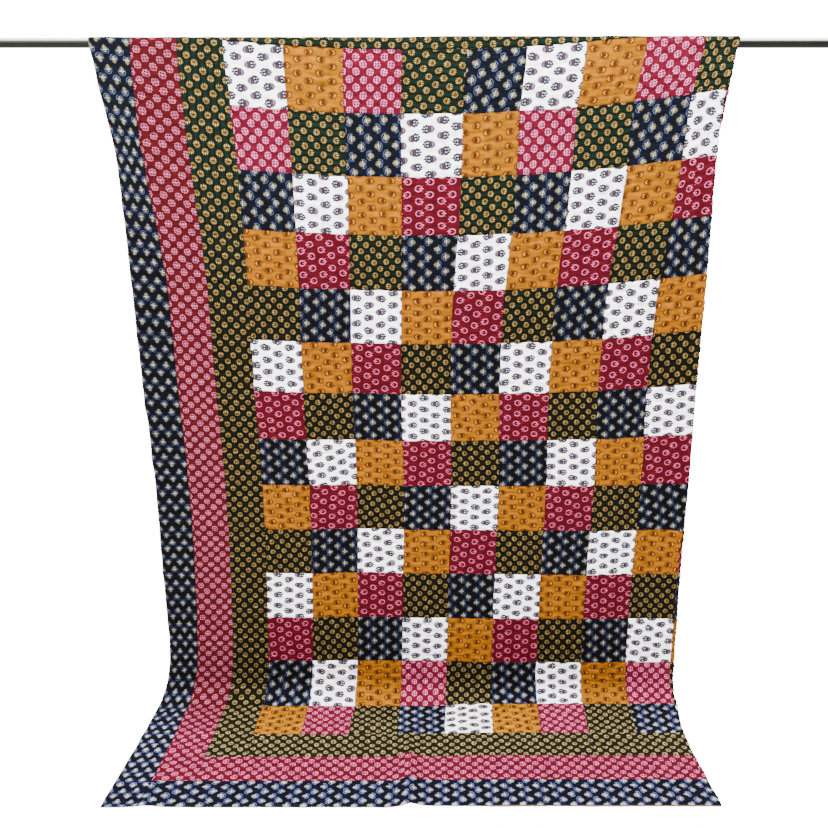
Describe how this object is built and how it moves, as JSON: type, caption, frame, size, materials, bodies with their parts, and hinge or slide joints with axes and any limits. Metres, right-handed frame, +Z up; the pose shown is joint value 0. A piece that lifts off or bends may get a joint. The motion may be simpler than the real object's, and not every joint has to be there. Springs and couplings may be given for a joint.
{
  "type": "patchwork quilt on a hanging rod",
  "caption": "Patchwork quilt of square printed patches in green, red and navy border strips, hung over a plain round rod, its lower end lying forward on the floor.",
  "frame": {"origin": "on the floor under the middle of the bounding box", "axes": "+X along the rod, towards the side where the quilt is folded back; +Z up; -Y towards the viewer, where the quilt's lower end lies on the floor"},
  "size_m": [2.3, 0.5263, 1.9608],
  "materials": {
    "dark_metal": "dark, semi-gloss",
    "cream_backing": "plain cream cotton",
    "printed_patches": "printed cotton in white, orange, red, green and navy squares, stitched",
    "green_print": "dark green cotton with a mustard print",
    "red_print": "red cotton with a pale pink print",
    "navy_print": "navy cotton with a cream and blue print"
  },
  "bodies": {
    "root": {"rod": "dark_metal", "backing": "cream_backing", "patchwork_field": "printed_patches", "green_border_left": "green_print", "green_border_right": "green_print", "green_border_top": "green_print", "green_border_bottom": "green_print", "red_border_left": "red_print", "red_border_right": "red_print", "red_border_top": "red_print", "red_border_bottom": "red_print", "navy_border_left": "navy_print", "navy_border_right": "navy_print", "navy_border_top": "navy_print", "navy_border_bottom": "navy_print"}
  },
  "joints": []
}
